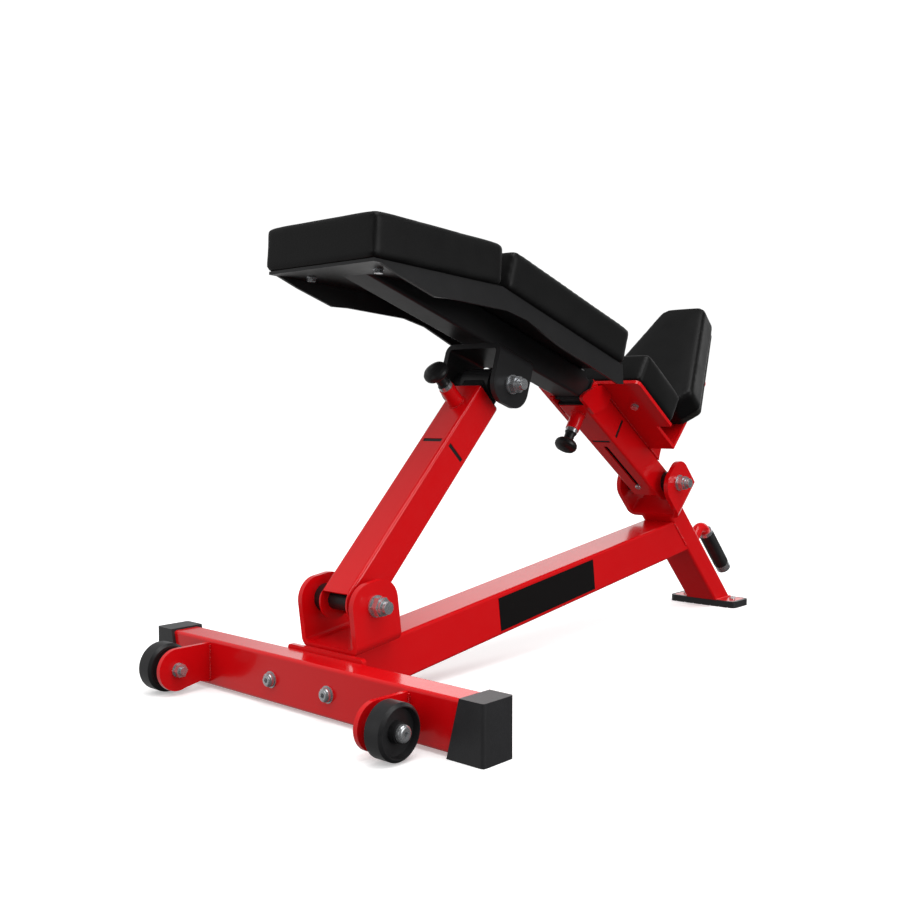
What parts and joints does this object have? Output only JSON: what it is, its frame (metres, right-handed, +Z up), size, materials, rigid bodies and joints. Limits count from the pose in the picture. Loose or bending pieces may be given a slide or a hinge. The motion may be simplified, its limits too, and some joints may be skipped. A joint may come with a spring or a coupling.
{
  "type": "adjustable weight bench",
  "caption": "Folding-frame weight bench: steel base with transport wheels and lifting handle, telescoping support arm and post, tilting padded back and seat.",
  "frame": {"origin": "middle of the bench's floor outline, on the floor", "axes": "+X from the wheels to the rear foot, +Y across the bench, +Z up"},
  "size_m": [1.4398, 0.737, 0.742],
  "materials": {
    "red_paint": "gloss",
    "black_paint": "satin",
    "cap_rubber": "matt",
    "grip_rubber": "matt",
    "zinc": "bright zinc",
    "pin_steel": "dark",
    "black_plastic": "satin",
    "wheel_plastic": "satin",
    "vinyl": "soft",
    "board": "painted",
    "label_film": "satin film"
  },
  "bodies": {
    "base": {"front_cross_tube": "red_paint", "cross_tube_caps": "cap_rubber", "beam_flange": "red_paint", "main_beam": "red_paint", "flange_bolts": "zinc", "beam_labels": "label_film", "front_clevis": "red_paint", "rear_clevis": "red_paint", "rear_leg": "red_paint", "foot_plate": "red_paint", "foot_rubber": "cap_rubber", "foot_screws": "zinc", "handle_tube": "red_paint", "handle_grip": "grip_rubber", "handle_collars": "zinc", "wheel_brackets": "red_paint", "wheel_axles": "zinc", "arm_pivot_bolt": "zinc", "arm_pivot_spacers": "black_plastic", "post_pivot_bolt": "zinc", "post_pivot_spacers": "black_plastic"},
    "wheel_left": {"wheel_left": "wheel_plastic"},
    "wheel_right": {"wheel_right": "wheel_plastic"},
    "arm": {"arm_tube": "red_paint", "arm_pivot_sleeve": "black_plastic", "arm_liner": "black_plastic", "arm_boss": "red_paint", "arm_collar": "zinc"},
    "arm_pin": {"arm_pull_pin": "pin_steel", "arm_knob": "black_plastic"},
    "arm_slide": {"arm_slide_tube": "black_paint", "arm_head_bush": "black_paint"},
    "seat": {"seat_post_tube": "red_paint", "post_pivot_sleeve": "black_plastic", "post_liner": "black_plastic", "post_cheeks": "red_paint", "post_boss": "red_paint", "post_collar": "zinc", "seat_bracket": "red_paint", "seat_bracket_ribs": "red_paint", "lumbar_pad": "vinyl", "seat_pad": "vinyl", "seat_pad_boards": "board", "seat_screws": "zinc"},
    "post_pin": {"post_pull_pin": "pin_steel", "post_knob": "black_plastic"},
    "backrest": {"back_tray": "black_paint", "spine_tube": "black_paint", "spine_end_plate": "black_paint", "post_slide_tube": "black_paint", "slide_stop_screw": "zinc", "back_clevis": "black_paint", "head_pad": "vinyl", "lower_back_pad": "vinyl", "back_pad_boards": "board", "back_pad_screws": "zinc", "back_pivot_bolt": "zinc", "back_pivot_spacers": "black_plastic"}
  },
  "joints": [
    {"name": "post_pivot", "type": "hinge", "parent": "base", "child": "seat", "pos_m": [0.38219, 0, 0.3004], "axis": [0, 1, 0], "range_deg": [0, 22]},
    {"name": "arm_pivot", "type": "hinge", "parent": "base", "child": "arm", "pos_m": [-0.51821, 0, 0.1575], "axis": [0, -1, 0], "range_deg": [0, 8]},
    {"name": "arm_extend", "type": "slide", "parent": "arm", "child": "arm_slide", "axis": [0.6922, 0, 0.7217], "range_m": [0, 0.26]},
    {"name": "back_slide", "type": "slide", "parent": "seat", "child": "backrest", "axis": [-0.8231, 0, 0.5678], "range_m": [0, 0.15]},
    {"name": "arm_pin_pull", "type": "slide", "parent": "arm", "child": "arm_pin", "axis": [-0.7217, 0, 0.6922], "range_m": [0, 0.012], "stiffness_N_per_m": 600, "springref_m": -0.004},
    {"name": "post_pin_pull", "type": "slide", "parent": "seat", "child": "post_pin", "axis": [-0.5678, 0, -0.8231], "range_m": [0, 0.012], "stiffness_N_per_m": 600, "springref_m": -0.004},
    {"name": "wheel_left_spin", "type": "hinge", "parent": "base", "child": "wheel_left", "pos_m": [-0.68091, 0.26, 0.0416], "axis": [0, 1, 0], "continuous": true},
    {"name": "wheel_right_spin", "type": "hinge", "parent": "base", "child": "wheel_right", "pos_m": [-0.68091, -0.26, 0.0416], "axis": [0, 1, 0], "continuous": true}
  ],
  "couplings": [
    {"joint": "arm_pivot", "follows": "post_pivot", "ratio": 0.35372},
    {"joint": "arm_extend", "follows": "post_pivot", "m_per_rad": 0.60287},
    {"joint": "back_slide", "follows": "post_pivot", "m_per_rad": 0.07813}
  ]
}
